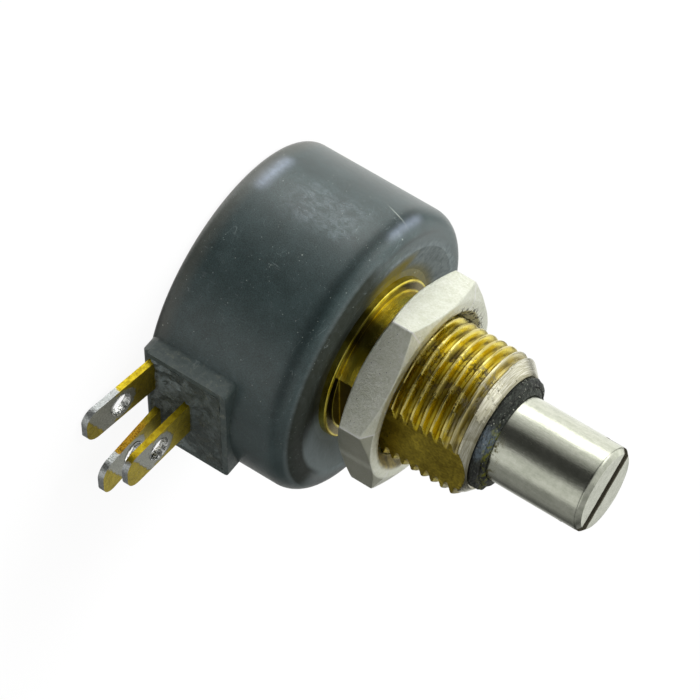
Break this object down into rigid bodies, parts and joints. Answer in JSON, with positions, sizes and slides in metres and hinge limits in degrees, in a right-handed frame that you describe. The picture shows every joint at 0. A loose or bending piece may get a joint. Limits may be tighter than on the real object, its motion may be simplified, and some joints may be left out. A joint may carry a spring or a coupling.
{
  "type": "rotary potentiometer",
  "caption": "Sealed rotary potentiometer with a round moulded body, solder lugs on its side, a threaded bushing with a hexagon nut and a slotted shaft.",
  "frame": {"origin": "on the shaft axis, at the plane of the body's front rim that the panel seats on", "axes": "+Z out along the shaft, -Y towards the terminals"},
  "size_m": [0.0202, 0.0265, 0.0283],
  "materials": {
    "black_plastic": "satin",
    "resin": "glossy, uneven",
    "brass": "worn, tinned at the lug tips",
    "nickel": "matt nickel plate",
    "steel": "turned",
    "seal_rubber": "grainy",
    "laminate": "matt",
    "carbon": "matt",
    "silver": "matt",
    "rotor_plastic": "satin",
    "bronze": "rolled strip"
  },
  "bodies": {
    "body": {"housing": "black_plastic", "rear_cover": "black_plastic", "terminal_potting": "resin", "terminal_end_a": "brass", "terminal_end_b": "brass", "terminal_wiper": "brass", "eyelet_a": "nickel", "eyelet_b": "nickel", "eyelet_wiper": "nickel", "element_substrate": "laminate", "resistive_track": "carbon", "track_pad_a": "silver", "track_pad_b": "silver", "collector_base": "laminate", "bushing": "brass", "thrust_washer": "nickel", "shaft_seal": "seal_rubber"},
    "turning_shaft": {"shaft": "steel", "retaining_ring": "nickel", "rotor": "rotor_plastic", "wiper_spring": "bronze", "collector_spring": "bronze"},
    "nut": {"mounting_nut": "nickel"}
  },
  "joints": [
    {"name": "shaft_turn", "type": "hinge", "parent": "body", "child": "turning_shaft", "pos_m": [0, 0, 0], "axis": [0, 0, 1], "range_deg": [-148, 148]},
    {"name": "nut_travel", "type": "slide", "parent": "body", "child": "nut", "axis": [0, 0, 1], "range_m": [-0.0015, 0.0046]}
  ]
}
